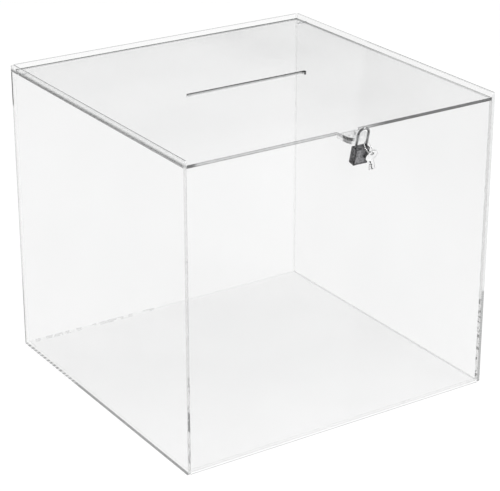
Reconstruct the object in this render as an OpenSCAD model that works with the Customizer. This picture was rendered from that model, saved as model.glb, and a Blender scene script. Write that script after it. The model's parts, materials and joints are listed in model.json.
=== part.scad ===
// Clear acrylic ballot box with a pin-hinged lid, two lock tabs, a small padlock and its two keys.
// Origin: centre of the underside. +Z up, the padlock faces -Y, +X to the right of it.

/* [Box] */
// Overall width, left to right
box_w = 450; // [300:5:600]
// Overall depth, front to back without the tab
box_d = 430; // [300:5:600]
// Overall height, to the top of the side and back walls
box_h = 400; // [250:5:600]
// Thickness of the wall sheets
wall_t = 4; // [3:0.5:6]
// Thickness of the floor sheet
floor_t = 4; // [3:0.5:6]
// Corner radius of the two side sheets
side_corner_r = 2; // [1:0.5:3]

/* [Lid] */
// Thickness of the lid sheet
lid_t = 4; // [4:0.5:6]
// Height of the walls above the lid
rim_h = 5.5; // [4:0.5:8]
// Gap between the lid and each side wall
lid_side_gap = 0.5; // [0.3:0.1:1]
// Gap between the lid and the back wall
lid_back_gap = 0.5; // [0.5:0.1:0.8]
// Length of the ballot slot
slot_l = 180; // [120:5:220]
// Width of the ballot slot
slot_w = 5; // [4.5:0.5:8]

/* [Lock tabs] */
// Width of both tabs
tab_w = 30; // [30:1:34]
// Straight length of a tab before its round end
tab_straight = 18; // [16:1:24]
// Diameter of the shackle hole in both tabs
tab_hole_d = 9; // [8.5:0.5:10]
// Thickness of the lower tab
tab_t = 4; // [3:0.5:5]

/* [Hinge pins] */
// Diameter of a hinge pin
pin_d = 2; // [1.5:0.1:2.2]
// Length of a pin inside the lid
pin_grip = 10; // [6:1:15]
// Distance from the back of the box to the hinge pins
pin_setback = 22; // [22:0.5:28]
// Radial running clearance of a pin in the lid
pin_clear = 0.05; // [0.03:0.01:0.1]
// Chamfer at both ends of a hinge pin
pin_chamfer = 0.3; // [0.1:0.1:0.5]

/* [Padlock case] */
// Width of the padlock case
case_w = 21; // [21:0.5:24]
// Front to back size of the padlock case
case_d = 9.5; // [9.5:0.5:12]
// Height of the padlock case
case_h = 21.5; // [21.5:0.5:26]
// Edge radius of the padlock case
case_edge_r = 1; // [0.5:0.1:1.3]
// Width of the raised rim round the case's front field
case_rim = 1.9; // [1.5:0.1:3]
// Depth of the case's front field
case_field = 0.3; // [0.2:0.1:0.5]
// Lean of the hanging padlock towards the box, in degrees
lean = 14; // [10:1:14]
// Drop from the middle of the tabs to the top of the case
case_drop = 15.5; // [14:0.5:20]

/* [Shackle] */
// Diameter of the shackle wire
shackle_d = 3.2; // [3:0.1:3.2]
// Distance between the two shackle legs
leg_pitch = 15; // [15:0.1:15.4]
// Height of the outside of the bend above the middle of the tabs
bend_top = 11.6; // [11:0.1:14]
// Length of the short leg inside the case
short_leg = 6.8; // [6.8:0.1:7.2]
// Length of the long leg inside the case
long_leg = 14.5; // [14:0.1:15]
// Radial clearance of the legs in the case
leg_clear = 0.06; // [0.04:0.01:0.1]
// Shift of the short leg from the middle of the tab hole
leg_shift = 2.3; // [2.1:0.1:2.4]
// Free lift of the shackle when it is unlatched
shackle_lift = 7.5; // [7:0.1:7.6]

/* [Padlock works] */
// Diameter of the lock plug
plug_d = 7; // [6.6:0.1:7.2]
// Depth from the top of the case to the plug
plug_top = 8; // [7.8:0.1:8.6]
// Thickness of the latch bolt
latch_t = 1.4; // [1.2:0.1:1.6]
// Width of the latch bolt
latch_w = 3; // [2.6:0.1:3.4]
// Length of the latch bolt
latch_l = 5.8; // [5.4:0.1:6]
// Depth of the latch bolt below the top of the case
latch_top = 2.7; // [2.5:0.1:2.9]
// Depth of the latch notch in the short leg
notch_depth = 0.4; // [0.3:0.05:0.5]
// Latch travel for each millimetre of shackle lift
latch_ratio = 0.25; // [0.25:0.01:0.28]
// Diameter of the lock pins
lock_pin_d = 2; // [1.8:0.1:2.1]

/* [Key ring and keys] */
// Diameter of the key ring, middle of the wire
ring_d = 16; // [15:0.5:17]
// Diameter of the key ring wire
ring_wire = 1.2; // [1:0.1:1.3]
// Slope of the hanging key ring, in degrees
ring_slope = 45; // [40:1:46]
// Direction of the hanging key ring from the case's right side towards its front, in degrees
ring_turn = 50; // [48:1:52]
// Thickness of a key
key_t = 1.2; // [1:0.1:1.3]
// Width of a key's bow
bow_w = 18; // [15:0.5:19]
// Height of a key's bow
bow_h = 12.5; // [11:0.5:13]
// Width of the oblong hole in a key's bow
bow_hole_w = 7; // [6.5:0.1:8]
// Height of the hole in a key's bow
bow_hole_h = 4.6; // [4.5:0.1:4.8]
// Width of the raised rims round a key's bow and its hole
bow_rim = 1.1; // [0.8:0.1:1.4]
// Width of a key's blade
blade_w = 5.5; // [5:0.1:5.6]
// Length of a key's blade below the bow
blade_l = 16; // [14:0.5:18]

/* [Hidden] */
$fn = 64;
CUT = 1;

inner_w = box_w - 2 * wall_t;
inner_d = box_d - 2 * wall_t;
front_y = -box_d / 2;
lid_top = box_h - rim_h;
lid_under = lid_top - lid_t;
lid_w = inner_w - 2 * lid_side_gap;
pin_y = box_d / 2 - pin_setback;
pin_z = lid_top - lid_t / 2;
pin_end_gap = 0.5;
pin_l = wall_t + lid_side_gap + pin_grip;
hole_y = front_y - tab_straight;
tab_mid_z = (lid_top + lid_under - tab_t) / 2;

shackle_r = shackle_d / 2;
bore_r = shackle_r + leg_clear;
case_mid = leg_pitch / 2;
short_bore = short_leg + 0.7;
long_bore = case_h - 2.5;
notch_top = latch_top - 0.3;
notch_bottom = latch_top + latch_t + 0.1;
notch_taper = notch_depth / latch_ratio;
latch_gap = 0.1;
nose_gap = 0.05;
latch_nose = shackle_r - notch_depth + nose_gap;
latch_tail = latch_nose + latch_l;
latch_pocket_end = leg_pitch - bore_r - 1;
neck_r = shackle_r - 0.5;
bead_h = 2;
stop_pin_r = 0.5;
stop_depth = 3.7;
works_gap = 0.05;
plug_r = plug_d / 2;
plug_bore_r = plug_r + works_gap;
plug_chamfer = 0.3;
keyway_l = blade_w + 0.4;
keyway_w = key_t + 0.4;
plug_web = 0.5;
keyway_end = plug_top + plug_web;
tail_r = 0.5;
tail_reach = 1.6;
pin_bore_r = lock_pin_d / 2 + works_gap;
plug_pin_end = case_mid - 0.6;
key_cut_depths = [1.6, 0.7, 1.3];
key_pin_lengths = [for (cut = key_cut_depths) plug_r - blade_w / 2 + cut];
driver_l = 2.2;
lock_pin_chamfer = 0.2;
leg_tip_chamfer = 0.4;
chamber_plug_l = 0.8;
case_left = case_mid - case_w / 2;
retainer_r = 0.5;
retainer_depth = case_h - 2.2;
plug_groove_r = plug_r - 0.45;
key_nose = 0.18 * (case_h - keyway_end);
lock_pin_top = keyway_end + key_nose;
lock_pin_pitch = (retainer_depth - retainer_r - pin_bore_r - 0.3 - lock_pin_top) / 2;

ring_r = ring_d / 2;
turn_gap = 0.06;
turn_half_w = 0.37 * ring_wire;
turn_half_h = (ring_wire - turn_gap) / 4;
ring_crank = 30;
ring_end_gap = 4;
ring_rest_gap = 0.5;
ring_hook = shackle_r / cos(ring_slope) + ring_wire / 2 + ring_rest_gap;
ring_height = 1.75;
key_spread = 7.5;
key_hang = 0.2;
key_slip = 0.8;
bow_field = 0.2;
front_key_lean = 20;
rear_key_lean = 7;
bow_drop = bow_h / 2 - bow_hole_h / 2 - 0.9;
blade_root = bow_drop + bow_h / 2 - 0.6;
key_tip = -blade_root - blade_l;
cut_mouth = 0.41 * lock_pin_pitch;
cut_floor = 0.14 * lock_pin_pitch;

// Points of a full oval with half axes a and b
function oval(a, b, n = 48) = [for (i = [0:n - 1]) [a * cos(360 * i / n), b * sin(360 * i / n)]];

// Rectangle with round corners, centred on the origin
module round_rect(w, h, r) {
    square([w, h - 2 * r], center = true);
    square([w - 2 * r, h], center = true);
    for (x = [-1, 1], y = [-1, 1]) translate([x * (w / 2 - r), y * (h / 2 - r)]) circle(r);
}

// Round pin along +Z with a chamfer at both ends
module turned_pin(h, r, chamfer) {
    rotate_extrude() polygon([[0, 0], [r - chamfer, 0], [r, chamfer], [r, h - chamfer], [r - chamfer, h],
        [0, h]]);
}

// Wire wound about +Z: each stop is [angle, height], its section is round or flattened
module wound_wire(stops, radius, half_w, half_h, sides) {
    last = len(stops) - 1;
    points = [for (s = stops, j = [0:sides - 1]) let (b = 360 * j / sides, r = radius + half_w * cos(b))
        [r * cos(s[0]), r * sin(s[0]), s[1] + half_h * sin(b)]];
    skin = [for (i = [0:last - 1], j = [0:sides - 1])
        let (k = (j + 1) % sides, a = i * sides + j, b = i * sides + k, c = b + sides, d = a + sides)
        for (t = [[a, b, c], [a, c, d]]) t];
    first_end = [for (j = [0:sides - 1]) sides - 1 - j];
    last_end = [for (j = [0:sides - 1]) last * sides + j];
    polyhedron(points, concat(skin, [first_end, last_end]));
}

// Round wire wound into an open coil along +Z
module coil(radius, wire, length, turns) {
    steps = 12;
    rings = turns * steps;
    stops = [for (i = [0:rings]) [360 * i / steps, wire / 2 + (length - wire) * i / rings]];
    wound_wire(stops, radius, wire / 2, wire / 2, sides = 6);
}

// Outline of a tab: straight sides and a half-round end, from the front face outwards
module tab_outline() {
    translate([-tab_w / 2, hole_y]) square([tab_w, tab_straight]);
    translate([0, hole_y]) circle(tab_w / 2);
}

// Moves from the padlock's own frame to the box: origin on the short leg, in the middle of the tabs
module padlock_place() {
    translate([leg_shift, hole_y, tab_mid_z]) rotate([lean, 0, 0]) children();
}

// The padlock's own frame with its origin on the short leg, level with the top of the case
module case_place() {
    padlock_place() translate([0, 0, -case_drop]) children();
}

// Round bar across the case along the padlock's left to right, from x0 to x1 at a depth
module cross_bar(x0, x1, depth, r) {
    translate([x0, 0, -depth]) rotate([0, 90, 0]) cylinder(h = x1 - x0, r = r);
}

// Chamfered pin across the case along the padlock's left to right, from x0 to x1 at a depth
module cross_pin(x0, x1, depth) {
    translate([x0, 0, -depth]) rotate([0, 90, 0]) turned_pin(x1 - x0, lock_pin_d / 2, lock_pin_chamfer);
}

// Bar from inside the case out to its back face, at a place across and a depth
module back_bar(x, depth, r, from_y, to_y) {
    translate([x, from_y, -depth]) rotate([-90, 0, 0]) cylinder(h = to_y - from_y, r = r);
}

// Side sheet standing on the left or right, with small round corners
module side_sheet(side) {
    x = side < 0 ? -box_w / 2 : box_w / 2 - wall_t;
    difference() {
        translate([x, 0, box_h / 2]) rotate([90, 0, 90])
            linear_extrude(wall_t) round_rect(box_d, box_h, side_corner_r);
        translate([x - CUT, pin_y, pin_z]) rotate([0, 90, 0])
            cylinder(h = wall_t + 2 * CUT, r = pin_d / 2);
    }
}

module floor_panel() {
    color([0.93, 0.94, 0.94, 0.5])
        translate([-inner_w / 2, -inner_d / 2, 0]) cube([inner_w, inner_d, floor_t]);
}

module front_panel() {
    color([0.95, 0.96, 0.96, 0.5])
        translate([-inner_w / 2, front_y, 0]) cube([inner_w, wall_t, lid_under]);
}

module back_panel() {
    color([0.95, 0.96, 0.96, 0.5])
        translate([-inner_w / 2, box_d / 2 - wall_t, 0]) cube([inner_w, wall_t, box_h]);
}

module left_panel() {
    color([0.94, 0.95, 0.95, 0.5]) side_sheet(-1);
}

module right_panel() {
    color([0.94, 0.95, 0.95, 0.5]) side_sheet(1);
}

module lower_lock_tab() {
    color([0.9, 0.91, 0.91, 0.6]) translate([0, 0, lid_under - tab_t])
        linear_extrude(tab_t) difference() {
            tab_outline();
            translate([0, hole_y]) circle(tab_hole_d / 2);
        }
}

module hinge_pin(side) {
    color([0.6, 0.61, 0.62]) translate([side * (box_w / 2 - pin_l / 2) - pin_l / 2, pin_y, pin_z])
        rotate([0, 90, 0]) turned_pin(pin_l, pin_d / 2, pin_chamfer);
}

module hinge_pin_left() {
    hinge_pin(-1);
}

module hinge_pin_right() {
    hinge_pin(1);
}

module lid() {
    depth = box_d - wall_t - lid_back_gap;
    grip = pin_grip + pin_end_gap;
    color([0.9, 0.91, 0.91, 0.6]) difference() {
        translate([0, 0, lid_under]) linear_extrude(lid_t) difference() {
            union() {
                translate([-lid_w / 2, front_y]) square([lid_w, depth]);
                tab_outline();
            }
            translate([0, hole_y]) circle(tab_hole_d / 2);
            round_rect(slot_l, slot_w, slot_w / 2 - 0.01);
        }
        for (side = [-1, 1]) translate([side * (lid_w / 2 - grip / 2 + CUT / 2), pin_y, pin_z])
            rotate([0, 90, 0]) cylinder(h = grip + CUT, r = pin_d / 2 + pin_clear, center = true);
    }
}

module padlock_case() {
    color([0.25, 0.25, 0.26]) case_place() difference() {
        intersection() {
            translate([case_mid, 0, -case_h]) linear_extrude(case_h)
                round_rect(case_w, case_d, case_edge_r);
            translate([case_mid, case_d / 2, -case_h / 2]) rotate([90, 0, 0])
                linear_extrude(case_d) round_rect(case_w, case_h, case_edge_r);
        }
        translate([case_mid, case_field - case_d / 2, -case_h / 2]) rotate([90, 0, 0])
            linear_extrude(case_field + CUT)
                round_rect(case_w - 2 * case_rim, case_h - 2 * case_rim, case_edge_r);
        translate([0, 0, -short_bore]) cylinder(h = short_bore + CUT, r = bore_r);
        translate([leg_pitch, 0, -long_bore]) cylinder(h = long_bore + CUT, r = bore_r);
        latch_pocket();
        translate([case_mid, 0, -case_h - CUT])
            cylinder(h = case_h + CUT - plug_top + works_gap, r = plug_bore_r);
        translate([case_mid, 0, -plug_top - CUT])
            cylinder(h = plug_top + CUT - latch_top - latch_t / 2, r = tail_reach + tail_r + 0.1);
        for (i = [0:2]) cross_bar(case_left - CUT, case_mid, lock_pin_depth(i), pin_bore_r);
        back_bar(stop_x(), stop_depth, stop_pin_r, -case_d / 4, case_d / 2 + CUT);
        back_bar(retainer_x(), retainer_depth, retainer_r, -case_d / 4, case_d / 2 + CUT);
    }
}

function lock_pin_depth(i) = lock_pin_top + i * lock_pin_pitch;
function stop_x() = leg_pitch + neck_r + 0.1 + stop_pin_r;
function retainer_x() = case_mid + plug_groove_r + 0.05 + retainer_r;

// Pocket of the latch bolt and its spring, open to the short leg's bore
module latch_pocket() {
    translate([0, -latch_w / 2 - latch_gap, -latch_top - latch_t - latch_gap])
        cube([latch_pocket_end, latch_w + 2 * latch_gap, latch_t + 2 * latch_gap]);
}

module shackle() {
    bend_r = leg_pitch / 2;
    legs_top = case_drop + bend_top - bend_r - shackle_r;
    color([0.75, 0.76, 0.77]) case_place() difference() {
        union() {
            translate([bend_r, 0, legs_top]) rotate([90, 0, 0])
                rotate_extrude(angle = 180) translate([bend_r, 0]) circle(shackle_r);
            translate([0, 0, leg_tip_chamfer - short_leg])
                cylinder(h = short_leg - leg_tip_chamfer + legs_top, r = shackle_r);
            translate([0, 0, -short_leg])
                cylinder(h = leg_tip_chamfer, r1 = shackle_r - leg_tip_chamfer, r2 = shackle_r);
            translate([leg_pitch, 0, -stop_depth + 2 * stop_pin_r])
                cylinder(h = stop_depth - 2 * stop_pin_r + legs_top, r = shackle_r);
            translate([leg_pitch, 0, -long_leg]) cylinder(h = long_leg, r = neck_r);
            translate([leg_pitch, 0, -long_leg]) cylinder(h = bead_h, r = shackle_r);
        }
        rotate([90, 0, 0]) translate([0, 0, -shackle_d]) linear_extrude(2 * shackle_d)
            polygon([[shackle_r - notch_depth, -notch_top], [shackle_r + CUT, -notch_top],
                [shackle_r + CUT, -notch_bottom - notch_taper - CUT / latch_ratio],
                [shackle_r - notch_depth, -notch_bottom]]);
    }
}

module shackle_spring() {
    color([0.7, 0.7, 0.7]) case_place() translate([leg_pitch, 0, -long_bore])
        coil(radius = shackle_r - 0.4, wire = 0.4, length = long_bore - long_leg, turns = 5);
}

module shackle_stop_pin() {
    color([0.5, 0.5, 0.5]) case_place()
        back_bar(stop_x(), stop_depth, stop_pin_r, -case_d / 4, case_d / 2);
}

module latch_bolt() {
    tail_slot = shackle_lift * latch_ratio + 2 * tail_r + 0.3;
    color([0.8, 0.68, 0.35]) case_place() difference() {
        translate([latch_nose, -latch_w / 2, -latch_top - latch_t]) cube([latch_l, latch_w, latch_t]);
        translate([case_mid - tail_reach + tail_r + 0.1 - tail_slot, -tail_r - 0.1,
            -latch_top - latch_t - CUT])
            cube([tail_slot, 2 * tail_r + 0.2, CUT + latch_t - 0.4]);
    }
}

module latch_spring() {
    color([0.7, 0.7, 0.7]) case_place() translate([latch_tail, 0, -latch_top - latch_t / 2])
        rotate([0, 90, 0])
            coil(radius = 0.5, wire = 0.3, length = latch_pocket_end - latch_tail, turns = 6);
}

module lock_plug() {
    color([0.8, 0.68, 0.35]) case_place() difference() {
        union() {
            translate([case_mid, 0, -case_h]) turned_pin(case_h - plug_top, plug_r, plug_chamfer);
            translate([case_mid - tail_reach, 0, -plug_top - plug_web / 2])
                cylinder(h = plug_web / 2 + plug_top - latch_top - latch_t + 0.6, r = tail_r);
        }
        translate([case_mid - keyway_l / 2, -keyway_w / 2, -case_h - CUT])
            cube([keyway_l, keyway_w, case_h - keyway_end + CUT]);
        for (i = [0:2]) cross_bar(case_mid - plug_r - CUT, plug_pin_end, lock_pin_depth(i), pin_bore_r);
        translate([case_mid, 0, -retainer_depth - retainer_r]) difference() {
            cylinder(h = 2 * retainer_r, r = plug_r + CUT);
            cylinder(h = 2 * retainer_r, r = plug_groove_r);
        }
    }
}

module plug_retaining_pin() {
    color([0.5, 0.5, 0.5]) case_place()
        back_bar(retainer_x(), retainer_depth, retainer_r, -case_d / 4, case_d / 2);
}

module key_pins() {
    tip_l = 0.4;
    r = lock_pin_d / 2;
    color([0.8, 0.68, 0.35]) case_place() for (i = [0:2]) let (l = key_pin_lengths[i])
        translate([driver_end(i), 0, -lock_pin_depth(i)]) rotate([0, 90, 0])
            rotate_extrude() polygon([[0, 0], [r - lock_pin_chamfer, 0], [r, lock_pin_chamfer],
                [r, l - tip_l], [r / 2, l], [0, l]]);
}

function driver_end(i) = plug_pin_end - works_gap - key_pin_lengths[i];

module driver_pins() {
    color([0.75, 0.76, 0.77]) case_place() for (i = [0:2])
        cross_pin(driver_end(i) - driver_l, driver_end(i), lock_pin_depth(i));
}

module pin_springs() {
    start = case_left + chamber_plug_l;
    color([0.7, 0.7, 0.7]) case_place() for (i = [0:2])
        translate([start, 0, -lock_pin_depth(i)]) rotate([0, 90, 0])
            coil(radius = 0.7, wire = 0.3, length = driver_end(i) - driver_l - start, turns = 5);
}

module pin_chamber_plugs() {
    color([0.8, 0.68, 0.35]) case_place() for (i = [0:2])
        cross_bar(case_left, case_left + chamber_plug_l, lock_pin_depth(i), pin_bore_r);
}

// The key ring's own frame: origin at its middle, +X down its slope, +Z along its axis
module ring_place() {
    case_place() translate([leg_pitch, 0, ring_height]) rotate([0, 0, -ring_turn])
        rotate([0, ring_slope, 0]) translate([ring_r - ring_hook, 0, 0]) children();
}

// Height of the split ring's wire above its middle: a low turn, a smooth crank at 360 degrees, a high turn
function turn_z(a) = let (t = min(1, max(0, (a - 360) / ring_crank + 0.5)))
    (t * t * (3 - 2 * t) - 0.5) * (ring_wire + turn_gap) / 2;

// Split ring of flattened wire: two turns that lie together and are joined by the crank
module key_ring() {
    start = ring_crank / 2 + ring_end_gap;
    steps = 68;
    stops = [for (i = [0:steps]) let (a = start + (720 - 2 * start) * i / steps) [a, turn_z(a)]];
    color([0.78, 0.79, 0.8]) ring_place() rotate([0, 0, 90])
        wound_wire(stops, ring_r, turn_half_w, turn_half_h, sides = 8);
}

// Flat key in the XZ plane: hole at the origin, bow below it and blade pointing down
module key_blank() {
    rotate([90, 0, 0]) translate([0, 0, -key_t / 2]) difference() {
        linear_extrude(key_t) difference() {
            union() {
                translate([0, -bow_drop]) polygon(oval(bow_w / 2, bow_h / 2));
                translate([-blade_w / 2 - 0.8, -blade_root - 1.2]) square([blade_w + 1.6, 1.8]);
                polygon(concat([[blade_w / 2, -blade_root], [-blade_w / 2, -blade_root]], key_cuts(),
                    [[-blade_w / 2, key_tip + key_nose - 1.1 * cut_mouth], [0.6, key_tip],
                    [blade_w / 2, key_tip + 1.5]]));
            }
            round_rect(bow_hole_w, bow_hole_h, bow_hole_h / 2 - 0.01);
        }
        for (z = [bow_field - CUT, key_t - bow_field]) translate([0, 0, z]) linear_extrude(CUT)
            bow_field_outline();
        translate([0.5, key_tip - CUT, key_t - 0.35]) cube([0.9, blade_l, CUT]);
    }
}

// Sunk field of a bow, between the rim along its edge and the rim round its hole
module bow_field_outline() {
    difference() {
        translate([0, -bow_drop]) polygon(oval(bow_w / 2 - bow_rim, bow_h / 2 - bow_rim));
        round_rect(bow_hole_w + 2 * bow_rim, bow_hole_h + 2 * bow_rim, bow_hole_h / 2 + bow_rim - 0.01);
    }
}

// Bitting of a key, from its shoulder down: a cut where each lock pin meets it when its tip is home
function key_cuts() = [for (i = [2:-1:0])
    let (y = key_tip + lock_pin_depth(i) - keyway_end, cut = key_cut_depths[i])
    for (p = [[0, cut_mouth], [cut, cut_floor], [cut, -cut_floor], [0, -cut_mouth]])
        [-blade_w / 2 + p[0], y + p[1]]];

// Puts a key on the ring: beside the ring's lowest point, leaning, with the wire right of the hole's middle
module key_place(side, key_lean) {
    a = side * key_spread;
    drop = ring_r * cos(a) + ring_r - ring_hook;
    along = ring_r * sin(a);
    case_place() translate([
        leg_pitch + cos(ring_turn) * cos(ring_slope) * drop + sin(ring_turn) * along,
        -sin(ring_turn) * cos(ring_slope) * drop + cos(ring_turn) * along,
        ring_height - sin(ring_slope) * drop - key_hang])
        rotate([0, -key_lean, 0]) translate([-key_slip, 0, 0]) children();
}

module key_front() {
    color([0.82, 0.83, 0.84]) key_place(-1, front_key_lean) key_blank();
}

module key_rear() {
    color([0.82, 0.83, 0.84]) key_place(1, rear_key_lean) key_blank();
}

floor_panel();
front_panel();
back_panel();
left_panel();
right_panel();
lower_lock_tab();
hinge_pin_left();
hinge_pin_right();
lid();
padlock_case();
shackle();
shackle_spring();
shackle_stop_pin();
latch_bolt();
latch_spring();
lock_plug();
plug_retaining_pin();
key_pins();
driver_pins();
pin_springs();
pin_chamber_plugs();
key_ring();
key_front();
key_rear();
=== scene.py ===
"""Looks of a clear acrylic ballot box: sheets, cement seams, hinge pins, padlock, split ring and keys."""

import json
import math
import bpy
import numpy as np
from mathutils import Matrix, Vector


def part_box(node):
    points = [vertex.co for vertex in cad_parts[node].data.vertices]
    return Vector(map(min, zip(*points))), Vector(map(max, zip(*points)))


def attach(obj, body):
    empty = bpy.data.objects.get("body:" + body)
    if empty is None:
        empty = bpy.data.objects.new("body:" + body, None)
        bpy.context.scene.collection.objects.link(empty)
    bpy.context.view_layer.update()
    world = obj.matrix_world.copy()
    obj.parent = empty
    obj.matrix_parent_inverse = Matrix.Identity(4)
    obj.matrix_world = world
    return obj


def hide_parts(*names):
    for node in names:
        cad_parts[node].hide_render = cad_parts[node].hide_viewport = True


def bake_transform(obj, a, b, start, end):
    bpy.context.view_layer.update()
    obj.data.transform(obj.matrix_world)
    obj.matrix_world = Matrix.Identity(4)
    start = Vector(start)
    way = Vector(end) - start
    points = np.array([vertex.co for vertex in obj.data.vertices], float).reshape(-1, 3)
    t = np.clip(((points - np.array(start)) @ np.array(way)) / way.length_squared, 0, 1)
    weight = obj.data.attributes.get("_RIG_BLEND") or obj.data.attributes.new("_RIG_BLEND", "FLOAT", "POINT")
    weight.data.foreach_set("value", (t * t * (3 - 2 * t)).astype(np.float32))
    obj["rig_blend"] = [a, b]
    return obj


bl_info = {
    "name": "Clear ballot box",
    "version": (1, 0, 0),
    "blender": (4, 5, 0),
    "location": "3D View > Sidebar > Ballot box",
    "description": "Dresses the packed ballot box: acrylic, cement seams, padlock, split ring and keys",
    "category": "Object",
}

import bmesh
import bpy
import numpy as np
from bpy.props import FloatProperty, FloatVectorProperty, IntProperty, PointerProperty

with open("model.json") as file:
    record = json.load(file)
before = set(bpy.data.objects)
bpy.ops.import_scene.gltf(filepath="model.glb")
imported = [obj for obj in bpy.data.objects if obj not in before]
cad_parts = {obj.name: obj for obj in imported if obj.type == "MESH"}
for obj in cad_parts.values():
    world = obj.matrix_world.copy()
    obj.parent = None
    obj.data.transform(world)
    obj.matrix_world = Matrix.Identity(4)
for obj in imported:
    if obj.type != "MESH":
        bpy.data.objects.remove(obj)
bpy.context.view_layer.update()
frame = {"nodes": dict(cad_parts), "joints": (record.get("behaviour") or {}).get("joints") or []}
NODES = frame["nodes"]
JOINTS = {joint["name"]: joint for joint in frame["joints"]}
MM = 0.001

# Sizes and places from the frame, in metres. The tabs' round ends start level with the padlock's hole
INNER_X, INNER_Y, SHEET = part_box("floor_panel")[1]
BOX_X, BOX_Y, BOX_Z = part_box("right_panel")[1]
LID_X, LID_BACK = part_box("lid")[1][:2]
LID_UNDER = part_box("lid")[0][2]
TAB_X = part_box("lower_lock_tab")[1][0]
PADLOCK_AT = np.array(JOINTS["padlock_swing"]["pos_m"])
TAB_BEND = PADLOCK_AT[1]
LEAN = math.asin(-JOINTS["shackle_lift"]["axis"][1])

# Sizes that no node's box gives, as the part's source has them
SLOT_X, SLOT_Y = 90 * MM, 2.5 * MM
CASE_DROP = 15.5 * MM
CASE_MID, CASE_W, CASE_D, CASE_H, CASE_RIM = 7.5 * MM, 21 * MM, 9.5 * MM, 21.5 * MM, 1.9 * MM
LEG_PITCH, SHACKLE_R = 15 * MM, 1.6 * MM
RING_R, RING_WIRE, RING_HEIGHT, RING_GAP, TURN_GAP = 8 * MM, 1.2 * MM, 1.75 * MM, 0.5 * MM, 0.06 * MM
RING_SLOPE, RING_TURN = math.radians(45), math.radians(50)
RING_CRANK, RING_END = math.radians(30), math.radians(4)
RING_HOOK = SHACKLE_R / math.cos(RING_SLOPE) + RING_WIRE / 2 + RING_GAP

# Cement: half the thickness of its film, and by how much and over what lengths its bead swells
FILM, BEAD_SWELL, BEAD_PITCH = 0.05 * MM, 0.55, (6 * MM, 50 * MM)

# Ring's wire: steps along it and round it, how full its oval is, half its width and height, its rounded ends
WIRE_STEPS, WIRE_SIDES, WIRE_FULLNESS = 420, 20, 0.85
WIRE_HALF_WIDTH, WIRE_HALF_HEIGHT, WIRE_END = 0.37 * RING_WIRE, (RING_WIRE - TURN_GAP) / 4, 0.3 * MM

# Keys: width of the eased arrises, and the angle below which neighbouring triangles are one flat
KEY_EASE, KEY_FLAT = 0.08 * MM, math.radians(0.5)

# Length over which each of the two springs changes
LATCH_SPRING_LIVE, SHACKLE_SPRING_LIVE = 5.2 * MM, 3.74 * MM

# Copied meshes: how near two corners lie to be joined, and the angle from which an edge stays sharp
JOINED, SHARP = 0.001 * MM, math.radians(30)

# What a shader counts as a face square to an axis, and as lying on that face
SQUARE, ON_FACE = 0.7, 0.4 * MM

# Stage: sheets and cement films overlap along a line of sight, and Cycles' own limit of 8 ends it too dark
CLEAR_SURFACES = 48
PAPER, PAPER_GLOW, CARD = 0.28, 0.76, 0.015
CAMERA_AT, CAMERA_DOWN, CAMERA_ROUND = (-1.20225, -1.84673, 1.10307), 0.4003, -0.5786
CAMERA_LENS, CAMERA_SENSOR = 131.24, 36.0


# Frames and surfaces


def turned(points, axis, angle):
    """Turns points about one axis: the two other coordinates mix by the cosine and the sine of the angle."""
    points = np.array(points, float)
    a, b = (axis + 1) % 3, (axis + 2) % 3
    c, s = math.cos(angle), math.sin(angle)
    u, v = points[..., a].copy(), points[..., b].copy()
    points[..., a], points[..., b] = u * c - v * s, u * s + v * c
    return points


def case_point(points):
    """From the case's frame, at its top, to the box: down by the drop, leaned about +X, out to the hole."""
    return turned(np.asarray(points, float) - np.array([0, 0, CASE_DROP]), 0, LEAN) + PADLOCK_AT


def ring_point(points):
    """From the ring's frame to the box: out to its middle, down its slope, round to its side, up its leg."""
    sloped = turned(np.asarray(points, float) + np.array([RING_R - RING_HOOK, 0, 0]), 1, RING_SLOPE)
    return case_point(turned(sloped, 2, -RING_TURN) + np.array([LEG_PITCH, 0, RING_HEIGHT]))


def put(name, mesh, finish, body):
    """Makes a mesh a piece of the object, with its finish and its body."""
    mesh.materials.clear()
    mesh.materials.append(finish)
    piece = bpy.data.objects.new(name, mesh)
    bpy.context.scene.collection.objects.link(piece)
    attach(piece, body)
    return piece


def dress(node, finish):
    """Gives a CAD node its finish."""
    NODES[node].data.materials.clear()
    NODES[node].data.materials.append(finish)


def tube(name, grid):
    """Mesh over rings of points: quads between neighbours, closed rings, capped ends, faces outwards."""
    rings, sides = grid.shape[:2]
    i, j = np.meshgrid(np.arange(rings - 1), np.arange(sides), indexing="ij")
    k = (j + 1) % sides
    near, far = i * sides, (i + 1) * sides
    quads = np.stack([near + j, near + k, far + k, far + j], -1).reshape(-1, 4)
    caps = [list(range(sides - 1, -1, -1)), list(range((rings - 1) * sides, rings * sides))]
    points = grid.reshape(-1, 3)
    mesh = bpy.data.meshes.new(name)
    mesh.from_pydata(points.tolist(), [], quads.tolist() + caps)
    mesh.calc_loop_triangles()
    corner = np.zeros(len(mesh.loop_triangles) * 3, np.int32)
    mesh.loop_triangles.foreach_get("vertices", corner)
    a, b, c = np.moveaxis((points - points.mean(0))[corner.reshape(-1, 3)], 1, 0)
    if np.einsum("ij,ij->i", a, np.cross(b, c)).sum() < 0:
        mesh.flip_normals()
    mesh.polygons.foreach_set("use_smooth", np.ones(len(mesh.polygons), bool))
    mesh.update()
    return mesh


def merged_copy(node, flat=0.0):
    """Copy of a CAD node's mesh: its loose triangles joined, and its flats made whole below an angle."""
    mesh = NODES[node].data.copy()
    for name in [layer.name for layer in mesh.attributes if layer.name in ("NORMAL", "custom_normal")]:
        mesh.attributes.remove(mesh.attributes[name])
    shape = bmesh.new()
    shape.from_mesh(mesh)
    bmesh.ops.remove_doubles(shape, verts=shape.verts, dist=JOINED)
    if flat:
        bmesh.ops.dissolve_limit(shape, angle_limit=flat, verts=shape.verts, edges=shape.edges)
    shape.to_mesh(mesh)
    shape.free()
    mesh.set_sharp_from_angle(angle=SHARP)
    return mesh


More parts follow.
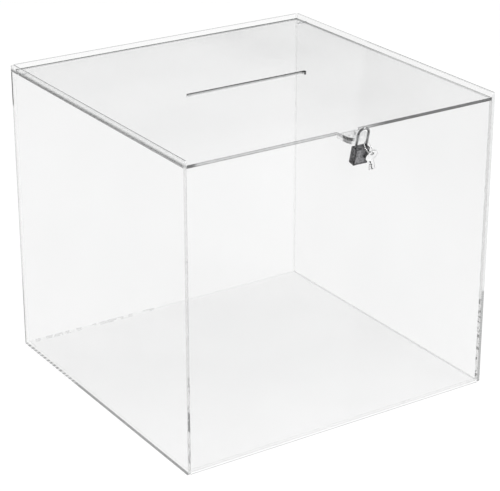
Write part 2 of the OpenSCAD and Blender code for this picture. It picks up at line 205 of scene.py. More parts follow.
def carried(path, across, up, profile):
    """Carries a profile along a path: point = path + profile x times across + profile y times up."""
    return path[:, None] + profile[..., :1] * across[:, None] + profile[..., 1:] * up[:, None]


def ripple(along, seed, waves=9):
    """Smooth unevenness from -1 to 1: a sum of sines with seeded pitches and phases, over its peak."""
    draw = np.random.default_rng(seed)
    pitch = draw.uniform(*BEAD_PITCH, waves)
    phase = draw.uniform(0, 2 * math.pi, waves)
    total = np.sin(along[:, None] * 2 * math.pi / pitch + phase).sum(1)
    return total / np.abs(total).max()


def cement_rings(start, end, wall, sheet, look, seed):
    """Cement of one joint, carried straight along it: a film between wall and sheet, and a quarter-round
    hollow in their inner corner, whose radius is the bead's times 1 + swell x ripple."""
    start, end = np.array(start), np.array(end)
    run = np.linalg.norm(end - start)
    rings = max(30, int(look.rings * run / BOX_Z))
    along = np.linspace(0, run, rings)
    path = start + (end - start) * (along / run)[:, None]
    bead = look.bead * (1 + BEAD_SWELL * ripple(along, seed))
    bend = np.linspace(0, math.pi / 2, 6)
    hollow = np.stack([1 - np.sin(bend), 1 - np.cos(bend)], -1)
    # from the joint's outer end up the wall, across the bead and back along the sheet; where the bead meets
    # wall or sheet, it sinks in by half the film
    profile = np.empty((rings, 10, 2))
    profile[:, 0], profile[:, 1] = (-FILM, -SHEET + FILM), (-FILM, 0)
    profile[:, 2:8] = hollow[None] * bead[:, None, None] - FILM * (hollow == 0)
    profile[:, 8], profile[:, 9] = (FILM, -FILM), (FILM, -SHEET + FILM)
    return carried(path, np.tile(wall, (rings, 1)), np.tile(sheet, (rings, 1)), profile)


def wire_rings():
    """Split ring: a flattened oval carried twice round a circle, rising smoothly along its crank."""
    start = RING_CRANK / 2 + RING_END
    angle = np.linspace(start, 4 * math.pi - start, WIRE_STEPS)
    step = np.clip((angle - 2 * math.pi) / RING_CRANK + 0.5, 0, 1)
    rise = (step * step * (3 - 2 * step) - 0.5) * (RING_WIRE + TURN_GAP) / 2
    # the crank lies a quarter turn from the ring's lowest point
    turn = angle + math.pi / 2
    out = np.stack([np.cos(turn), np.sin(turn), 0 * turn], -1)
    path = out * RING_R + np.stack([0 * rise, 0 * rise, rise], -1)
    # flattened wire: an oval with its corners filled out, rounded off towards both ends
    a = np.arange(WIRE_SIDES) * 2 * math.pi / WIRE_SIDES
    oval = np.stack([np.cos(a), np.sin(a)], -1)
    oval = np.sign(oval) * np.abs(oval) ** WIRE_FULLNESS * (WIRE_HALF_WIDTH, WIRE_HALF_HEIGHT)
    reach = np.minimum(angle - angle[0], angle[-1] - angle) * RING_R
    full = np.sqrt(1 - (1 - np.clip(reach / WIRE_END, 0, 1)) ** 2) * 0.5 + 0.5
    up = np.tile([0.0, 0.0, 1.0], (len(angle), 1))
    return ring_point(carried(path, out, up, oval[None] * full[:, None, None]))


# Materials


class Wire:
    """A shader socket: arithmetic on it adds Math nodes."""

    def __init__(self, finish, socket):
        self.finish, self.socket = finish, socket

    def math(self, operation, *terms):
        return self.finish.node("ShaderNodeMath", {"operation": operation}, dict(enumerate(terms)))

    def __add__(self, other):
        return self.math("ADD", self, other)

    def __sub__(self, other):
        return self.math("SUBTRACT", self, other)

    def __rsub__(self, other):
        return self.math("SUBTRACT", other, self)

    def __mul__(self, other):
        return self.math("MULTIPLY", self, other)

    def __truediv__(self, other):
        return self.math("DIVIDE", self, other)

    def __gt__(self, other):
        return self.math("GREATER_THAN", self, other)

    def __lt__(self, other):
        return self.math("LESS_THAN", self, other)

    def __abs__(self):
        return self.math("ABSOLUTE", self)

    __radd__, __rmul__ = __add__, __mul__

    def sine(self):
        return self.math("SINE", self)

    def higher(self, other):
        return self.math("MAXIMUM", self, other)

    def lower(self, other):
        return self.math("MINIMUM", self, other)

    def ramp(self, low, high, start=0.0, end=1.0):
        """Smooth step from start to end while the value goes from low to high."""
        return self.finish.node(
            "ShaderNodeMapRange",
            {"interpolation_type": "SMOOTHSTEP"},
            {"Value": self, "From Min": low, "From Max": high, "To Min": start, "To Max": end},
        )

    def within(self, low, high, soft):
        """1 between two limits and 0 outside them, with soft ends."""
        return self.ramp(low - soft, low + soft) * self.ramp(high - soft, high + soft, 1, 0)


def shifted(old, new, share):
    """The old value where the share is 0 and the new one where it is 1."""
    return old + share * (new - old)


def laid(under, share, level, hold):
    """A grey and how much it hides, laid over the pair under it where the share is 1."""
    return shifted(under[0], level, share), shifted(under[1], hold, share)


class Finish:
    """One node tree, of a material or of the world."""

    def __init__(self, name, tree=None):
        self.material = None
        if tree is None:
            self.material = bpy.data.materials.new(name)
            self.material.use_nodes = True
            tree = self.material.node_tree
        self.tree = tree
        tree.nodes.clear()

    def node(self, kind, settings=None, inputs=None, output=0):
        """Adds a node: its settings, then the values or links of its sockets. Gives one output, or all."""
        made = self.tree.nodes.new(kind)
        for key, value in (settings or {}).items():
            setattr(made, key, value)
        for key, value in (inputs or {}).items():
            if isinstance(value, Wire):
                self.tree.links.new(value.socket, made.inputs[key])
            else:
                made.inputs[key].default_value = value
        if output == "all":
            return [Wire(self, socket) for socket in made.outputs]
        return Wire(self, made.outputs[output]) if made.outputs else None

    def place(self):
        """Object coordinates, in metres."""
        return self.node("ShaderNodeTexCoord", output="Object")

    def axes(self, vector):
        return self.node("ShaderNodeSeparateXYZ", inputs={0: vector}, output="all")

    def facing(self):
        """The surface's own direction in object space, axis by axis."""
        return self.axes(self.node("ShaderNodeTexCoord", output="Normal"))

    def noise(self, vector, scale, detail=2.0, roughness=0.5):
        return self.node(
            "ShaderNodeTexNoise",
            inputs={"Vector": vector, "Scale": scale, "Detail": detail, "Roughness": roughness},
        )

    def stretch(self, vector, scale, turn=(0, 0, 0), shift=(0, 0, 0)):
        return self.node(
            "ShaderNodeMapping",
            inputs={"Vector": vector, "Scale": scale, "Rotation": turn, "Location": shift},
        )

    def mix(self, factor, a, b):
        """Colour a where the factor is 0, b where it is 1."""
        a, b = [x if isinstance(x, Wire) else (*x[:3], 1) for x in (a, b)]
        return self.node("ShaderNodeMix", {"data_type": "RGBA"}, {0: factor, 6: a, 7: b}, 2)

    def grey(self, value):
        return self.node("ShaderNodeCombineColor", inputs={0: value, 1: value, 2: value})

    def bump(self, height, strength, distance):
        return self.node(
            "ShaderNodeBump",
            inputs={"Height": height, "Strength": strength, "Distance": distance},
        )

    def surface(self, **sockets):
        """Ends the tree in the one shader, with the values and links of its sockets."""
        named = {name.replace("_", " "): value for name, value in sockets.items()}
        shader = self.node("ShaderNodeBsdfPrincipled", inputs=named)
        self.node("ShaderNodeOutputMaterial", inputs={0: shader})
        return self.material


def greys(level):
    """A plain grey as a colour."""
    return (level, level, level, 1)


def seen_rays(f):
    """1 for rays from the camera, from gloss and through glass, 0 for the rest."""
    rays = f.node("ShaderNodeLightPath", output="all")
    return rays[0].higher(rays[3].higher(rays[6]))


def face_at(at, facing, axis, where):
    """1 on the face square to an axis at one place along it, 0 elsewhere."""
    return (abs(facing[axis]) > SQUARE) * (abs(at[axis] - where) < ON_FACE)


def acrylic_sheet(node, axis, look, veil, shade_drift, rest, painted_rims, glued=(), touch=None):
    """Clear sheet: see-through broad faces, and sawn edges whose greys are painted light and shade.

    A veil or a stripe is a level of grey and how much of the view it hides. The veil lies on the broad
    faces, and each shade drift makes it thicker or thinner along an axis, a painted shade gradient in place
    of the studio seen in the faces. Each painted rim is one edge face, by its axis and its place, with three
    stripes across the sheet: along the arris on the low side, in the middle and along the arris on the high
    side. The other edges have the rest's one stripe, and glued faces show nothing. The stripes are painted
    reflections and shade, for what the edges would show of a dark studio. Touch adds the sheet's own marks,
    painted shade among them."""
    low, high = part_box(node)
    middle, half = (low[axis] + high[axis]) / 2, (high[axis] - low[axis]) / 2
    f = Finish(node + "_acrylic")
    place = f.place()
    at, facing = f.axes(place), f.facing()
    side = (at[axis] - middle) / half
    first, last = side.ramp(-0.65, -0.2, 1, 0), side.ramp(0.2, 0.65)
    # painted edges: the rest's stripe and the rims' stripes are painted reflections and shade of a dark
    # studio
    level, hold = rest
    for (face, where), stripes in painted_rims.items():
        shade, cover = [mid + first * (lo - mid) + last * (hi - mid) for lo, mid, hi in zip(*stripes)]
        level, hold = laid((level, hold), face_at(at, facing, face, where), shade, cover)
    grain = f.noise(place, 240, 3)
    level = level * grain.ramp(0.25, 0.75, 0.9, 1.08)
    haze = veil[1] * look.haze
    sight = f.noise(place, 7, 2).ramp(0.3, 0.7, haze * 0.92, haze * 1.08)
    # painted shade: the veil thickens or thins along the sheet in place of the studio's reflections
    for along, start, end, at_start, at_end in shade_drift:
        sight = sight * at[along].ramp(start, end, at_start, at_end)
    for other in glued:
        hold = hold * (1 - (abs(facing[other]) > SQUARE))
    level, hold = laid((level, hold), abs(facing[axis]) > SQUARE, veil[0], sight)
    if touch:
        level, hold = touch(f, at, facing, level, hold)
    scuff = f.noise(f.stretch(place, (3, 40, 40)), 12, 4, 0.6)
    return f.surface(
        Base_Color=f.mix(level, (0, 0, 0), look.tint),
        Roughness=scuff.ramp(0.3, 0.8, 0.03, 0.12),
        IOR=1.49,
        Alpha=hold,
        Normal=f.bump(scuff, 0.02, 0.0002),
    )


def left_marks(f, at, facing, level, hold):
    """Painted refraction of the lid's edge on the wall, a back arris painted dark as shade, and a bottom edge
    dashed at the back.
    """
    # painted refraction: a dark band on the wall's outer face where the lid's edge would show through
    rise = at[2].ramp(LID_UNDER + 0.8 * MM, LID_UNDER + 1.6 * MM)
    fade = at[2].ramp(LID_UNDER + 2.3 * MM, LID_UNDER + 7.1 * MM, 1, 0)
    painted_lid_refraction = face_at(at, facing, 0, -BOX_X) * rise * fade
    level, hold = laid((level, hold), painted_lid_refraction, 0.14, at[1].ramp(-210 * MM, 150 * MM, 0.72, 0.88))
    # painted shade: the back arris near black high up, and darker towards its foot
    outer = at[0].ramp(-BOX_X + 1 * MM, -BOX_X + 1.8 * MM, 1, 0)
    edge = outer * face_at(at, facing, 1, BOX_Y)
    back = edge * at[2].within(345 * MM, 391 * MM, 3 * MM)
    foot = edge * at[2].ramp(60 * MM, 130 * MM, 0.5, 0)
    level, hold = laid((level, hold), back.higher(foot), 0.03, 0.97)
    wander = f.noise(f.place(), 60, 1) * 5
    dash = (at[1] * (2 * math.pi / (9 * MM)) + wander).sine().ramp(-0.25, 0.15)
    gap = face_at(at, facing, 2, 0) * at[1].ramp(60 * MM, 90 * MM) * (1 - dash)
    return laid((level, hold), gap, 0.7, 0.3)


def right_marks(f, at, facing, level, hold):
    """Front edge up to a third of its height: a grey painted as the edge's shade, beaded with trapped air."""
    # the grey is painted shade of the edge; the beads along it are trapped air
    front = face_at(at, facing, 1, -BOX_Y) * at[2].ramp(130 * MM, 133 * MM, 1, 0)
    bead = (at[2] * (2 * math.pi / (3.1 * MM)) + f.noise(f.place(), 90, 2) * 9).sine()
    return laid((level, hold), front, bead.ramp(-1, 1, 0.3, 0.55), 0.8)


def front_marks(f, at, facing, level, hold):
    """Under the tab the top edge is painted grey from side to side, as the tab's shade."""
    # painted shade under the tab
    under = face_at(at, facing, 2, LID_UNDER) * (abs(at[0]) < TAB_X)
    return laid((level, hold), under, 0.35, 0.75)


def lid_marks(f, at, facing, level, hold):
    """Back right corner painted darker, front edge painted dark as shade on its right half and at its left
    end, right end of the slot painted dark as shade, and a tab whose left side is painted as shade: grey at
    its root and dark round its bend."""
    # painted shade: the back right corner hides more of the view
    corner = at[0].ramp(0, 150 * MM) * at[1].ramp(-40 * MM, 140 * MM)
    hold = (hold * (1 + corner * 0.8)).lower(0.97)
    # painted shade: front edge dark on its right half and at its left end
    front = face_at(at, facing, 1, -BOX_Y)
    dark = front * (at[0].ramp(10 * MM, 60 * MM) + at[0].ramp(-213 * MM, -205 * MM, 1, 0))
    streak = f.noise(f.stretch(f.place(), (1, 300, 300)), 40, 2).ramp(0.3, 0.7, 0.07, 0.2)
    level, hold = laid((level, hold), dark, streak, 0.95)
    # painted shade: the right end of the slot near black
    edges = abs(facing[2]) < SQUARE
    last = at[0].within(SLOT_X - 4.5 * MM, SLOT_X + 1 * MM, 0.5 * MM)
    end = edges * (abs(at[1]) < SLOT_Y + 0.2 * MM) * last
    level, hold = laid((level, hold), end, 0.03, 0.97)
    # painted shade: the tab's left side grey at its root and dark round its bend
    side = edges * (at[0] < -5 * MM)
    bend = side * at[1].within(TAB_BEND - 10 * MM, TAB_BEND + 7 * MM, 1.5 * MM)
    root = side * at[1].within(TAB_BEND + 8 * MM, -BOX_Y - 0.6 * MM, 0.3 * MM)
    level, hold = laid((level, hold), root, 0.35, 0.5)
    return laid((level, hold), bend, 0.06, 0.9)


def tab_marks(f, at, facing, level, hold):
    """The lower tab's left side is painted dark as shade where its round end starts."""
    # painted shade on the tab's left side
    side = (abs(facing[2]) < SQUARE) * (at[0] < -9 * MM)
    bend = side * at[1].within(TAB_BEND - 8 * MM, TAB_BEND + 6 * MM, 2 * MM)
    return laid((level, hold), bend, 0.15, 0.75)


def cement_finish(name, axis, film, dash, marks):
    """Set solvent cement: a clear film, with broken streaks of trapped air where the marks lie.

    The film is a level of grey and how much it hides. A mark is a stretch along the axis, the share of it
    that holds air, and the level of grey of that air and how much it hides."""
    f = Finish(name)
    place = f.place()
    scale = [120.0, 120.0, 120.0]
    scale[axis] = 1 / dash
    streak = f.noise(f.stretch(place, scale), 1.0, 1.5, 0.5)
    along = f.axes(place)[axis]
    level, hold = film
    for start, end, share, dark, cover in marks:
        # the larger the share, the lower the limit that the noise has to pass
        limit = 0.7 - 0.4 * share
        air = (streak - limit).ramp(0.0, 0.03) * along.within(start, end, 0.5 * MM)
        level, hold = laid((level, hold), air, dark, cover)
    speck = f.noise(place, 700, 2).ramp(0.3, 0.7, 0.85, 1.1)
    return f.surface(
        Base_Color=f.grey(speck * level),
        Roughness=0.3,
        IOR=1.45,
        Alpha=hold,
        Normal=f.bump(streak, 0.2, 0.0002),
    )


def metal_finish(name, colour, rough, grain, brushed=(1, 1, 1), bump=0.1, dirt=0.25):
    """Metal with a brushed or cast grain in its colour, roughness and surface."""
    f = Finish(name)
    place = f.place()
    fine = f.noise(f.stretch(place, brushed), grain, 4, 0.6)
    cloud = f.noise(place, grain * 0.08, 3)
    shade = cloud.ramp(0.3, 0.75, 1 - dirt, 1.0) * fine.ramp(0.2, 0.8, 1 - dirt * 0.5, 1.0)
    return f.surface(
        Base_Color=f.mix(shade, [c * 0.1 for c in colour], colour),
        Metallic=1.0,
        Roughness=fine.ramp(0.2, 0.8, rough[0], rough[1]),
        Normal=f.bump(fine, bump, 0.00008),
    )


def case_finish(look):
    """Dark cast case, mottled, with painted light and shade: a lighter field on front and back, darker rim
    and sides, darkest in a band at each side; arrises bright with wear and a painted highlight.
    """
    f = Finish("padlock_case_skin")
    middle = case_point([CASE_MID, 0, -CASE_H / 2])
    # the case's own frame: moved to its middle, then turned upright
    own = f.stretch(f.stretch(f.place(), (1, 1, 1), shift=tuple(-middle)), (1, 1, 1), turn=(-LEAN, 0, 0))
    at = f.axes(own)
    near = [abs(at[i]) / half for i, half in enumerate((CASE_W / 2, CASE_D / 2, CASE_H / 2))]
    close = [n.ramp(0.93, 1.0) for n in near]
    arris = (close[0] * close[1]).higher((close[1] * close[2]).higher(close[0] * close[2]))
    pits = f.noise(own, 1100, 4, 0.65)
    blots = f.noise(own, 420, 3, 0.6)
    # painted light and shade: the field of front and back lighter, the sides darker, a darkest band beside
    # each side
    lit_field = (abs(at[0]) < CASE_W / 2 - CASE_RIM) * (abs(at[2]) < CASE_H / 2 - CASE_RIM)
    shaded_flank = abs(at[0]) > CASE_W / 2 - 0.9 * MM
    tone = pits.ramp(0.25, 0.75, 0.6, 1.3) * blots.ramp(0.35, 0.65, 0.5, 1.6)
    shaded_band = (abs(at[0]) > CASE_W / 2 - CASE_RIM) * (1 - shaded_flank)
    tone = tone * shifted(0.75, 1.35, lit_field) * (1 - shaded_flank * 0.2) * (1 - shaded_band * 0.5)
    dull, bright = [[c * share for c in look.case_colour] for share in (0.1, 1.9)]
    skin = f.mix(tone.ramp(0.0, 1.6), dull, bright)
    # bright arrises: wear, and a painted highlight
    wear_and_highlight = arris * blots.ramp(0.45, 0.65) * 0.7
    return f.surface(
        Base_Color=f.mix(wear_and_highlight, skin, (0.5, 0.5, 0.51)),
        Metallic=0.8,
        Roughness=pits.ramp(0.2, 0.8, 0.28, 0.5),
        Normal=f.bump(pits + blots * 0.6, 0.4, 0.0002),
    )


def key_finish(look):
    """Nickel-plated key: bright flats with a fine upright grain, and edges painted darker as shade that
    outlines them.
    """
    f = Finish("key_nickel")
    place = f.place()
    facing = f.facing()
    # painted shade: faces that turn away from the key's flat get a darker colour
    flat = abs(facing[1] * math.cos(LEAN) + facing[2] * math.sin(LEAN)).ramp(0.4, 0.8)
    fine = f.noise(f.stretch(place, (1, 1, 0.2), turn=(-LEAN, 0, 0)), 900, 3)
    cloud = f.noise(place, 160, 3)
    bright = cloud.ramp(0.3, 0.6, 0.9, 1.0) * fine.ramp(0.2, 0.8, 0.93, 1.0) * shifted(0.7, 1.0, flat)
    return f.surface(
        Base_Color=f.mix(bright, (0.02, 0.02, 0.02), look.nickel),
        Metallic=0.9,
        Roughness=fine.ramp(0.2, 0.8, 0.2, 0.36),
        Normal=f.bump(fine, 0.06, 0.00008),
    )


# What a user can change


class AcrylicLook(bpy.types.PropertyGroup):
    haze: FloatProperty(
        name="Haze", description="How much the faces of the sheets hold back", default=1.0, min=0.0, max=5.0
    )
    tint: FloatVectorProperty(
        name="Sheet tint", description="Colour cast of the sheets", default=(0.985, 1.0, 1.0), subtype="COLOR"
    )


class CementLook(bpy.types.PropertyGroup):
    bead: FloatProperty(
        name="Bead",
        description="Size of the cement squeezed out",
        default=0.7 * MM,
        subtype="DISTANCE",
        unit="LENGTH",
    )
    rings: IntProperty(
        name="Rings", description="Steps along a seam as long as the box is high", default=220, min=20
    )


class PadlockLook(bpy.types.PropertyGroup):
    case_colour: FloatVectorProperty(
        name="Case colour",
        description="Skin of the padlock case",
        default=(0.16, 0.16, 0.165),
        subtype="COLOR",
    )
    steel: FloatVectorProperty(
        name="Steel", description="Shackle, pins and springs", default=(0.84, 0.85, 0.86), subtype="COLOR"
    )
    nickel: FloatVectorProperty(
        name="Nickel", description="Plate of the ring and keys", default=(0.95, 0.95, 0.95), subtype="COLOR"
    )
    brass: FloatVectorProperty(
        name="Brass", description="Plug, latch and key pins", default=(0.72, 0.55, 0.27), subtype="COLOR"
    )


class StudioLook(bpy.types.PropertyGroup):
    fill: FloatProperty(name="Fill", description="Light of the world on the object", default=0.62, min=0.0)
    key: FloatProperty(
        name="Key lamp", description="Power of the key lamp", default=55.0, subtype="POWER", unit="POWER"
    )


# Operators


class BALLOTBOX_OT_sheets(bpy.types.Operator):
    """Gives every acrylic sheet its clear faces and its edges painted bright or dark with light and shade"""

    bl_idname = "ballotbox.sheets"
    bl_label = "Acrylic sheets"

    def execute(self, context):
        look = context.scene.ballotbox_acrylic
        # node, thickness axis, veil, painted shade drift, rest, painted rims, glued faces, marks; rest and
        # rims are painted edge light and shade
        sheets = [
            ("left_panel", 0, (0.6, 0.05), [(2, 0.1, 0.38, 0.7, 1.0)], (0.7, 0.5), {
                (1, -BOX_Y): ((0.75, 0.6), (0.9, 0.35), (0.7, 0.6)),
                (1, BOX_Y): ((0.7, 0.6), (0.85, 0.3), (0.85, 0.2)),
                (2, BOX_Z): ((0.75, 0.6), (0.7, 0.5), (0.03, 0.97)),
                (2, 0): ((0.3, 0.88), (0.28, 0.88), (0.34, 0.85)),
            }, (), left_marks),
            ("right_panel", 0, (0.55, 0.065), [(2, 0.15, 0.38, 0.9, 1.3)], (0.7, 0.5), {
                (1, -BOX_Y): ((0.72, 0.6), (0.8, 0.45), (0.72, 0.6)),
                (1, BOX_Y): ((0.9, 0.05), (0.9, 0.05), (0.75, 0.3)),
                (2, BOX_Z): ((0.75, 0.45), (0.9, 0.4), (0.12, 0.95)),
                (2, 0): ((0.9, 0.03), (0.9, 0.05), (0.55, 0.5)),
            }, (), right_marks),
            ("front_panel", 1, (0.6, 0.05), [(2, 0.05, 0.2, 0.8, 1.0)], (0.8, 0.2), {
                (2, LID_UNDER): ((0.6, 0.4), (0.85, 0.15), (0.8, 0.05)),
                (2, 0): ((0.5, 0.7), (0.9, 0.05), (0.9, 0.03)),
            }, (0,), front_marks),
            ("back_panel", 1, (0.6, 0.05), [], (0.8, 0.2), {
                (2, BOX_Z): ((0.85, 0.35), (0.65, 0.5), (0.08, 0.95)),
                (2, 0): ((0.9, 0.03), (0.9, 0.03), (0.8, 0.1)),
            }, (0,), None),
            ("floor_panel", 2, (0.45, 0.08), [(1, -0.2, 0.02, 0.7, 1.0)], (0.8, 0.2), {}, (0, 1), None),
            ("lid", 2, (0.5, 0.13), [
                (1, -0.05, 0.2, 1.0, 1.2),
                (0, 0.05, 0.2, 1.0, 0.7),
                (1, -0.2, -0.1, 0.77, 1.0),
            ], (0.8, 0.2), {
                (0, -LID_X): ((0.12, 0.8), (0.45, 0.55), (0.7, 0.3)),
                (0, LID_X): ((0.9, 0.1), (0.6, 0.5), (0.45, 0.6)),
                (1, LID_BACK): ((0.9, 0.1), (0.5, 0.4), (0.06, 0.97)),
                (1, -BOX_Y): ((0.4, 0.8), (0.6, 0.65), (0.38, 0.8)),
                (1, SLOT_Y): ((0.9, 0.4), (0.3, 0.75), (0.03, 0.97)),
                (1, -SLOT_Y): ((0.9, 0.1), (0.95, 0.2), (0.5, 0.6)),
            }, (), lid_marks),
            ("lower_lock_tab", 2, (0.6, 0.03), [], (0.75, 0.15), {}, (), tab_marks),
        ]
        for node, axis, *facts in sheets:
            dress(node, acrylic_sheet(node, axis, look, *facts))
        return {"FINISHED"}


class BALLOTBOX_OT_seams(bpy.types.Operator):
    """Makes the set cement in every joint between two sheets, with its bead and its trapped air"""

    bl_idname = "ballotbox.seams"
    bl_label = "Cement seams"

    def execute(self, context):
        look = context.scene.ballotbox_cement
        x, y, low, high, roof = INNER_X, INNER_Y, SHEET, LID_UNDER, BOX_Z
        under = LID_UNDER - SHEET
        # name, ends, out of the wall, out of the joined sheet, film, dash, marks
        seams = [
            ("seam_front_left", (-x, -y, low), (-x, -y, high), (1, 0, 0), (0, 1, 0), (0.9, 0.04), 7 * MM,
             [(0, 138 * MM, 0.4, 0.55, 0.85), (57 * MM, 82 * MM, 0.85, 0.02, 0.95)]),
            ("seam_front_right", (x, -y, low), (x, -y, high), (-1, 0, 0), (0, 1, 0), (0.65, 0.2), 3 * MM,
             [(0, 120 * MM, 0.4, 0.6, 0.8)]),
            ("seam_back_left", (-x, y, low), (-x, y, roof), (1, 0, 0), (0, -1, 0), (0.9, 0.03), 9 * MM,
             [(360 * MM, 391 * MM, 0.3, 0.6, 0.1)]),
            ("seam_back_right", (x, y, low), (x, y, roof), (-1, 0, 0), (0, -1, 0), (0.9, 0.02), 9 * MM,
             [(250 * MM, 389 * MM, 0.15, 0.7, 0.1)]),
            ("seam_floor_left", (-x, -y, low), (-x, y, low), (1, 0, 0), (0, 0, 1), (0.7, 0.05), 6 * MM,
             [(80 * MM, 205 * MM, 0.2, 0.6, 0.1)]),
            ("seam_floor_right", (x, -y, low), (x, y, low), (-1, 0, 0), (0, 0, 1), (0.6, 0.05), 8 * MM,
             [(-200 * MM, -80 * MM, 0.2, 0.6, 0.1)]),
            ("seam_floor_front", (-x, -y, low), (x, -y, low), (0, 1, 0), (0, 0, 1), (0.6, 0.06), 9 * MM,
             [(90 * MM, 215 * MM, 0.2, 0.6, 0.1)]),
            ("seam_floor_back", (-x, y, low), (x, y, low), (0, -1, 0), (0, 0, 1), (0.9, 0.02), 9 * MM,
             [(-219 * MM, -20 * MM, 0.5, 1.0, 0.15)]),
            ("seam_lower_tab", (-TAB_X, -BOX_Y, under), (TAB_X, -BOX_Y, under), (0, -1, 0), (0, 0, -1),
             (0.85, 0.1), 4 * MM, [(-TAB_X, TAB_X, 0.3, 0.6, 0.6)]),
        ]
        for seed, (name, start, end, wall, sheet, film, dash, marks) in enumerate(seams):
            axis = int(np.argmax(np.abs(np.subtract(end, start))))
            finish = cement_finish(name + "_cement", axis, film, dash, marks)
            grid = cement_rings(start, end, wall, sheet, look, seed)
            put(name, tube(name, grid), finish, "box")
        return {"FINISHED"}


class BALLOTBOX_OT_padlock(bpy.types.Operator):
    """Finishes the padlock and the hinge pins, and lets the latch and shackle springs change their length"""

    bl_idname = "ballotbox.padlock"
    bl_label = "Padlock"

    def execute(self, context):
        look = context.scene.ballotbox_padlock

        def steel(share):
            """Steel darkened to a share of its brightness."""
            return [c * share for c in look.steel]

        finishes = {
            "padlock_case": case_finish(look),
            "shackle": metal_finish("shackle_polish", steel(0.35), (0.05, 0.1), 500, dirt=0.1, bump=0.02),
            "hinge_pin_left": metal_finish("pin_ground", look.steel, (0.2, 0.35), 900, (0.1, 1, 1)),
            "lock_plug": metal_finish("plug_brass", look.brass, (0.22, 0.4), 900, (1, 1, 0.1)),
            "shackle_spring": metal_finish("spring_steel", steel(0.8), (0.2, 0.4), 1200),
            "shackle_stop_pin": metal_finish("cross_pin_steel", steel(0.5), (0.3, 0.5), 1200),
        }
        same = {
            "hinge_pin_right": "hinge_pin_left",
            "latch_bolt": "lock_plug",
            "key_pins": "lock_plug",
            "pin_chamber_plugs": "padlock_case",
            "driver_pins": "shackle_spring",
            "latch_spring": "shackle_spring",
            "pin_springs": "shackle_spring",
            "plug_retaining_pin": "shackle_stop_pin",
        }
        for node in [*finishes, *same]:
            dress(node, finishes[same.get(node, node)])

        # of each spring here, one end stands in the case and the other follows the piece that it pushes
        for node, body, live in (
            ("latch_spring", "latch", [-LATCH_SPRING_LIVE, 0, 0]),
            ("shackle_spring", "shackle", turned([0, 0, SHACKLE_SPRING_LIVE], 0, LEAN)),
        ):
            middle, half_run = np.mean(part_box(node), axis=0), np.array(live) / 2
            spring = bpy.data.objects.new(node + "_wound", merged_copy(node))
            context.scene.collection.objects.link(spring)
            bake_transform(spring, "padlock", body, tuple(middle - half_run), tuple(middle + half_run))
            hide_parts(node)
        return {"FINISHED"}


class BALLOTBOX_OT_keys(bpy.types.Operator):
    """Winds the split ring and eases the arrises of its two keys"""

    bl_idname = "ballotbox.keys"
    bl_label = "Split ring and keys"

    def execute(self, context):
        look = context.scene.ballotbox_padlock
        finish = metal_finish("ring_nickel", look.nickel, (0.12, 0.25), 800, dirt=0.12, bump=0.04)
        ring = put("split_ring", tube("split_ring", wire_rings()), finish, "ring")
        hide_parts("key_ring")

        nickel = key_finish(look)
        for node, body in (("key_front", "front_key"), ("key_rear", "rear_key")):
            key = put(node + "_plated", merged_copy(node, KEY_FLAT), nickel, body)
            ease = key.modifiers.new("eased_arris", "BEVEL")
            ease.width, ease.segments = KEY_EASE, 2
            ease.limit_method, ease.angle_limit = "ANGLE", math.radians(40)
            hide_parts(node)
        return {"FINISHED"}


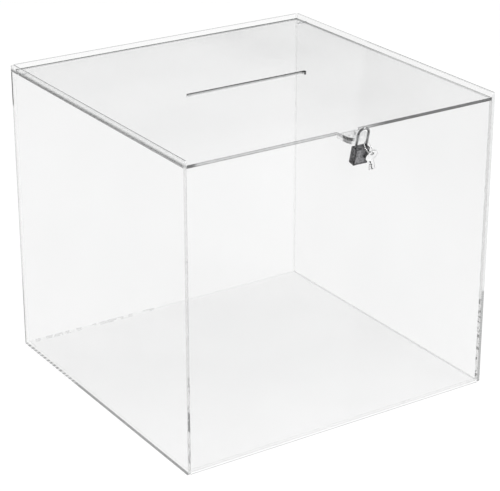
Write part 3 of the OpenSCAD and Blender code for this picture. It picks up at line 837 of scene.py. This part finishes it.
class BALLOTBOX_OT_studio(bpy.types.Operator):
    """Makes the pale floor, the dark cards, the plain world, the lamps and the photograph's camera"""

    bl_idname = "ballotbox.studio"
    bl_label = "Studio"

    def execute(self, context):
        look = context.scene.ballotbox_studio
        scene = context.scene
        scene.view_settings.view_transform = "Standard"
        scene.cycles.transparent_max_bounces = CLEAR_SURFACES

        def panel(name, finish, middle, across, up):
            """Flat stage piece: its middle plus and minus half its width and half its height."""
            mesh = bpy.data.meshes.new(name)
            signs = ((-1, -1), (1, -1), (1, 1), (-1, 1))
            corners = [np.array(middle) + i * np.array(across) + j * np.array(up) for i, j in signs]
            mesh.from_pydata([tuple(c) for c in corners], [], [(0, 1, 2, 3)])
            mesh.materials.append(finish)
            thing = bpy.data.objects.new(name, mesh)
            scene.collection.objects.link(thing)
            return thing

        f = Finish("studio_floor_paper")
        under = f.node("ShaderNodeNewGeometry", output="Backfacing")
        paper = f.surface(
            Base_Color=greys(PAPER),
            Roughness=0.9,
            Emission_Color=greys(1),
            Emission_Strength=seen_rays(f) * PAPER_GLOW,
            Alpha=1 - under,
        )
        panel("studio_floor", paper, (0, 0, -0.3 * MM), (14, 0, 0), (0, 14, 0))

        # dark cards that show only in reflections: at the camera's side, low in front and high on the right
        card = Finish("studio_card").surface(Base_Color=greys(CARD), Roughness=1.0)
        cards = [
            panel("card_camera_side", card, (-1.3, -1.7, 1.3), (1.9, -1.5, 0), (0.35, 0.45, 1.2)),
            panel("card_below", card, (-0.5, -0.67, 0.002), (0.62, 0, 0), (0, 0.43, 0)),
            panel("card_right", card, (2.3, 1.4, 1.55), (0.55, -0.75, 0), (-0.2, -0.15, 0.55)),
        ]
        for thing in cards:
            thing.visible_camera = thing.visible_diffuse = thing.visible_shadow = False
            thing.visible_transmission = thing.visible_volume_scatter = False

        world = bpy.data.worlds.new("studio_world")
        world.use_nodes = True
        w = Finish("studio_world", world.node_tree)
        strength = seen_rays(w) * (1 - look.fill) + look.fill
        backdrop = w.node("ShaderNodeBackground", inputs={"Color": (1, 1, 1, 1), "Strength": strength})
        w.node("ShaderNodeOutputWorld", inputs={0: backdrop})
        scene.world = world

        for name, at, power, spread in (
            ("key_lamp", (1.6, -2.2, 2.2), look.key, 1.4),
            ("side_lamp", (-2.6, -0.6, 1.9), look.key * 0.35, 1.6),
        ):
            lamp = bpy.data.lights.new(name, "AREA")
            lamp.energy, lamp.size = power, spread
            thing = bpy.data.objects.new(name, lamp)
            aim = np.array([0, 0, 0.2]) - at
            thing.location = at
            thing.rotation_euler = (
                math.atan2(math.hypot(aim[0], aim[1]), -aim[2]), 0, math.atan2(aim[1], aim[0]) - math.pi / 2
            )
            scene.collection.objects.link(thing)

        camera = bpy.data.cameras.new("photo_camera")
        camera.sensor_width, camera.lens = CAMERA_SENSOR, CAMERA_LENS
        thing = bpy.data.objects.new("photo_camera", camera)
        thing.location = CAMERA_AT
        thing.rotation_euler = (math.pi / 2 - CAMERA_DOWN, 0, CAMERA_ROUND)
        scene.collection.objects.link(thing)
        scene.camera = thing
        return {"FINISHED"}


STEPS = (
    BALLOTBOX_OT_sheets,
    BALLOTBOX_OT_seams,
    BALLOTBOX_OT_padlock,
    BALLOTBOX_OT_keys,
    BALLOTBOX_OT_studio,
)
LOOKS = {
    "ballotbox_acrylic": AcrylicLook,
    "ballotbox_cement": CementLook,
    "ballotbox_padlock": PadlockLook,
    "ballotbox_studio": StudioLook,
}


class BALLOTBOX_PT_panel(bpy.types.Panel):
    """Lists the looks and the steps that make them"""

    bl_idname = "BALLOTBOX_PT_panel"
    bl_label = "Ballot box"
    bl_space_type = "VIEW_3D"
    bl_region_type = "UI"
    bl_category = "Ballot box"

    def draw(self, context):
        for name, look in LOOKS.items():
            column = self.layout.column()
            for prop in look.__annotations__:
                column.prop(getattr(context.scene, name), prop)
        for step in STEPS:
            self.layout.operator(step.bl_idname)


def register():
    for kind in (*LOOKS.values(), *STEPS, BALLOTBOX_PT_panel):
        bpy.utils.register_class(kind)
    for name, look in LOOKS.items():
        setattr(bpy.types.Scene, name, PointerProperty(type=look))


def unregister():
    for name in LOOKS:
        delattr(bpy.types.Scene, name)
    for kind in reversed((*LOOKS.values(), *STEPS, BALLOTBOX_PT_panel)):
        bpy.utils.unregister_class(kind)


def main():
    """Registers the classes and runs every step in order."""
    register()
    for step in STEPS:
        group, name = step.bl_idname.split(".")
        getattr(getattr(bpy.ops, group), name)()


if __name__ == "__main__":
    main()
